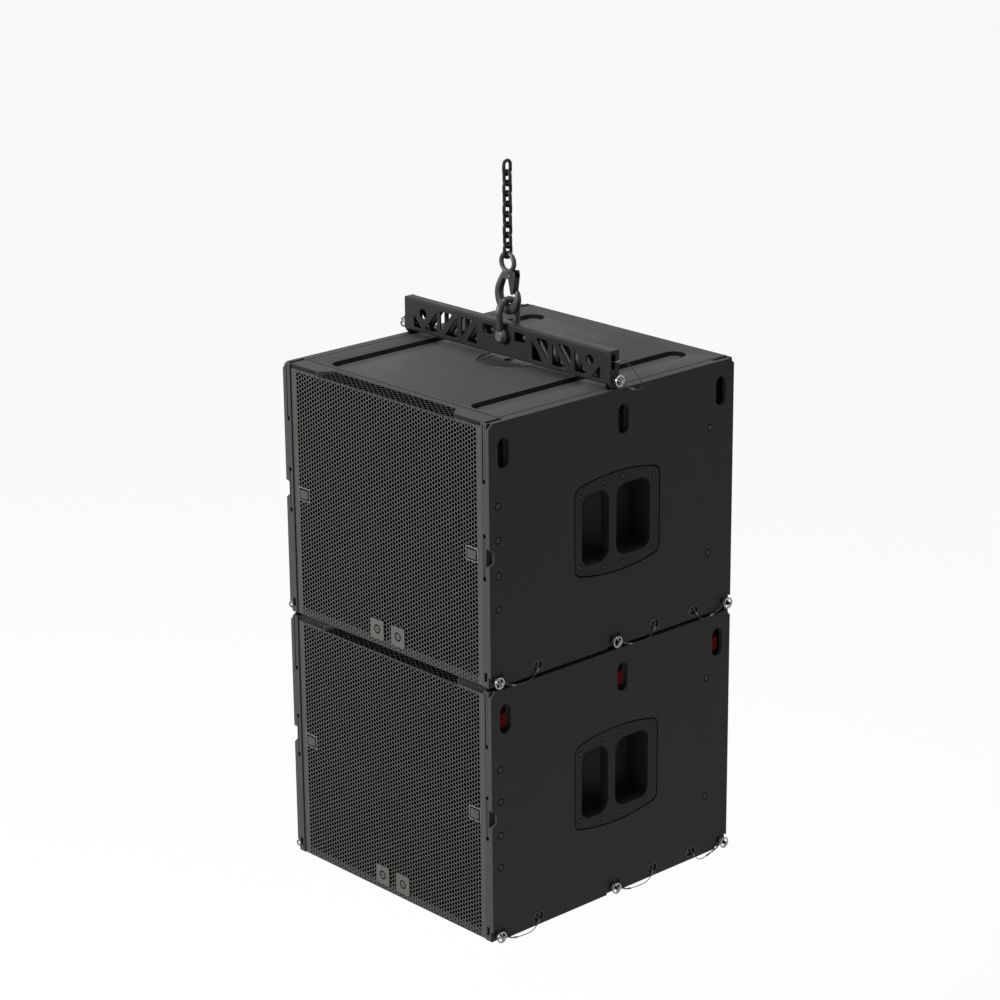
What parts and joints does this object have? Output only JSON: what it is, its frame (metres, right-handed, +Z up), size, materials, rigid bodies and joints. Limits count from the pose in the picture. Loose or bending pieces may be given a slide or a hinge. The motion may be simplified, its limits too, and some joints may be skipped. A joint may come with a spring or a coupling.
{
  "type": "flown line array speaker",
  "caption": "Flown bass line array: box cabinets with perforated steel fronts under a lattice fly bar, hung from a chain by hook and shackle.",
  "frame": {"origin": "wire centre of the top crown of the top chain link, where the hoist holds it", "axes": "+Z up along the chain, -Y towards the audience, +X to the right of a person standing behind the array"},
  "size_m": [0.742, 0.773, 1.7107],
  "materials": {
    "chain_steel": "black oxide",
    "hook_steel": "satin powder coat",
    "latch_steel": "zinc, blackened",
    "zinc_steel": "zinc plated",
    "shackle_steel": "satin black",
    "rigging_black": "fine powder coat",
    "pin_chrome": "polished",
    "link_black": "satin black, grip tab red",
    "lanyard_wire": "coated wire rope",
    "anchor_black": "satin black",
    "clip_black": "satin black",
    "cabinet_paint": "textured impact-resistant paint",
    "baffle_black": "matt black",
    "grille_black": "fine powder coat",
    "plywood": "bare birch",
    "driver_frame": "satin black",
    "driver_cone": "pressed paper",
    "handle_plastic": "fine grain",
    "amp_metal": "satin powder coat",
    "skid_rubber": "hard plastic runner",
    "plate_black": "satin black"
  },
  "bodies": {
    "chain": {"hoist_chain": "chain_steel"},
    "hook": {"hook_body": "hook_steel", "hook_latch_rivet": "zinc_steel"},
    "latch": {"hook_latch": "latch_steel"},
    "shackle": {"shackle_bow": "shackle_steel", "shackle_pin": "zinc_steel"},
    "array": {"fly_bar_tube": "rigging_black", "fly_bar_end_plates": "rigging_black", "fly_bar_bush": "zinc_steel", "upper_middle_links": "link_black", "lower_links": "link_black", "pin_lanyards": "lanyard_wire", "lanyard_anchors": "anchor_black", "grille_clips": "clip_black", "upper_side_panels": "cabinet_paint", "upper_top_panel": "cabinet_paint", "upper_bottom_panel": "cabinet_paint", "upper_back_panel": "cabinet_paint", "upper_front_frame": "cabinet_paint", "upper_baffle": "baffle_black", "upper_grille": "grille_black", "upper_braces": "plywood", "upper_woofer_frame": "driver_frame", "upper_handles": "handle_plastic", "upper_amp_module": "amp_metal", "upper_skids": "skid_rubber", "upper_pole_plate": "plate_black", "lower_side_panels": "cabinet_paint", "lower_top_panel": "cabinet_paint", "lower_bottom_panel": "cabinet_paint", "lower_back_panel": "cabinet_paint", "lower_front_frame": "cabinet_paint", "lower_baffle": "baffle_black", "lower_grille": "grille_black", "lower_braces": "plywood", "lower_woofer_frame": "driver_frame", "lower_handles": "handle_plastic", "lower_amp_module": "amp_metal", "lower_skids": "skid_rubber", "lower_pole_plate": "plate_black"},
    "bar_pin_left": {"bar_pin_left": "pin_chrome"},
    "bar_pin_right": {"bar_pin_right": "pin_chrome"},
    "upper_cone": {"upper_woofer_cone": "driver_cone"},
    "lower_cone": {"lower_woofer_cone": "driver_cone"},
    "link_front_left": {"link_front_left": "link_black"},
    "link_front_right": {"link_front_right": "link_black"},
    "link_rear_left": {"link_rear_left": "link_black"},
    "link_rear_right": {"link_rear_right": "link_black"},
    "upper_pin_front_left": {"upper_pin_front_left": "pin_chrome"},
    "upper_pin_front_right": {"upper_pin_front_right": "pin_chrome"},
    "upper_pin_middle_left": {"upper_pin_middle_left": "pin_chrome"},
    "upper_pin_middle_right": {"upper_pin_middle_right": "pin_chrome"},
    "upper_pin_rear_left": {"upper_pin_rear_left": "pin_chrome"},
    "upper_pin_rear_right": {"upper_pin_rear_right": "pin_chrome"},
    "lower_pin_front_left": {"lower_pin_front_left": "pin_chrome"},
    "lower_pin_front_right": {"lower_pin_front_right": "pin_chrome"},
    "lower_pin_middle_left": {"lower_pin_middle_left": "pin_chrome"},
    "lower_pin_middle_right": {"lower_pin_middle_right": "pin_chrome"},
    "lower_pin_rear_left": {"lower_pin_rear_left": "pin_chrome"},
    "lower_pin_rear_right": {"lower_pin_rear_right": "pin_chrome"}
  },
  "joints": [
    {"name": "hook_swing", "type": "hinge", "parent": "chain", "child": "hook", "pos_m": [0, 0, -0.2243], "axis": [0, 1, 0], "range_deg": [-20, 20]},
    {"name": "hook_latch_open", "type": "hinge", "parent": "hook", "child": "latch", "pos_m": [0.014, 0, -0.2635], "axis": [0, 1, 0], "range_deg": [0, 30], "stiffness_Nm_per_rad": 0.2, "springref_deg": -20.05},
    {"name": "shackle_tilt", "type": "hinge", "parent": "hook", "child": "shackle", "pos_m": [0, 0, -0.3237], "axis": [1, 0, 0], "range_deg": [-6, 6]},
    {"name": "bar_roll", "type": "hinge", "parent": "shackle", "child": "array", "pos_m": [0, 0, -0.4057], "axis": [0, 1, 0], "range_deg": [-10, 10]},
    {"name": "bar_pin_left_pull", "type": "slide", "parent": "array", "child": "bar_pin_left", "axis": [-1, 0, 0], "range_m": [0, 0.04]},
    {"name": "bar_pin_right_pull", "type": "slide", "parent": "array", "child": "bar_pin_right", "axis": [1, 0, 0], "range_m": [0, 0.04]},
    {"name": "upper_pin_front_left_pull", "type": "slide", "parent": "array", "child": "upper_pin_front_left", "axis": [-1, 0, 0], "range_m": [0, 0.035]},
    {"name": "upper_pin_front_right_pull", "type": "slide", "parent": "array", "child": "upper_pin_front_right", "axis": [1, 0, 0], "range_m": [0, 0.035]},
    {"name": "upper_pin_middle_left_pull", "type": "slide", "parent": "array", "child": "upper_pin_middle_left", "axis": [-1, 0, 0], "range_m": [0, 0.035]},
    {"name": "upper_pin_middle_right_pull", "type": "slide", "parent": "array", "child": "upper_pin_middle_right", "axis": [1, 0, 0], "range_m": [0, 0.035]},
    {"name": "upper_pin_rear_left_pull", "type": "slide", "parent": "array", "child": "upper_pin_rear_left", "axis": [-1, 0, 0], "range_m": [0, 0.035]},
    {"name": "upper_pin_rear_right_pull", "type": "slide", "parent": "array", "child": "upper_pin_rear_right", "axis": [1, 0, 0], "range_m": [0, 0.035]},
    {"name": "lower_pin_front_left_pull", "type": "slide", "parent": "array", "child": "lower_pin_front_left", "axis": [-1, 0, 0], "range_m": [0, 0.035]},
    {"name": "lower_pin_front_right_pull", "type": "slide", "parent": "array", "child": "lower_pin_front_right", "axis": [1, 0, 0], "range_m": [0, 0.035]},
    {"name": "lower_pin_middle_left_pull", "type": "slide", "parent": "array", "child": "lower_pin_middle_left", "axis": [-1, 0, 0], "range_m": [0, 0.035]},
    {"name": "lower_pin_middle_right_pull", "type": "slide", "parent": "array", "child": "lower_pin_middle_right", "axis": [1, 0, 0], "range_m": [0, 0.035]},
    {"name": "lower_pin_rear_left_pull", "type": "slide", "parent": "array", "child": "lower_pin_rear_left", "axis": [-1, 0, 0], "range_m": [0, 0.035]},
    {"name": "lower_pin_rear_right_pull", "type": "slide", "parent": "array", "child": "lower_pin_rear_right", "axis": [1, 0, 0], "range_m": [0, 0.035]},
    {"name": "link_front_left_raise", "type": "slide", "parent": "array", "child": "link_front_left", "axis": [0, 0, 1], "range_m": [0, 0.06]},
    {"name": "link_front_right_raise", "type": "slide", "parent": "array", "child": "link_front_right", "axis": [0, 0, 1], "range_m": [0, 0.06]},
    {"name": "link_rear_left_raise", "type": "slide", "parent": "array", "child": "link_rear_left", "axis": [0, 0, 1], "range_m": [0, 0.06]},
    {"name": "link_rear_right_raise", "type": "slide", "parent": "array", "child": "link_rear_right", "axis": [0, 0, 1], "range_m": [0, 0.06]},
    {"name": "upper_cone_stroke", "type": "slide", "parent": "array", "child": "upper_cone", "axis": [0, -1, 0], "range_m": [-0.008, 0.008], "stiffness_N_per_m": 6000},
    {"name": "lower_cone_stroke", "type": "slide", "parent": "array", "child": "lower_cone", "axis": [0, -1, 0], "range_m": [-0.008, 0.008], "stiffness_N_per_m": 6000}
  ]
}
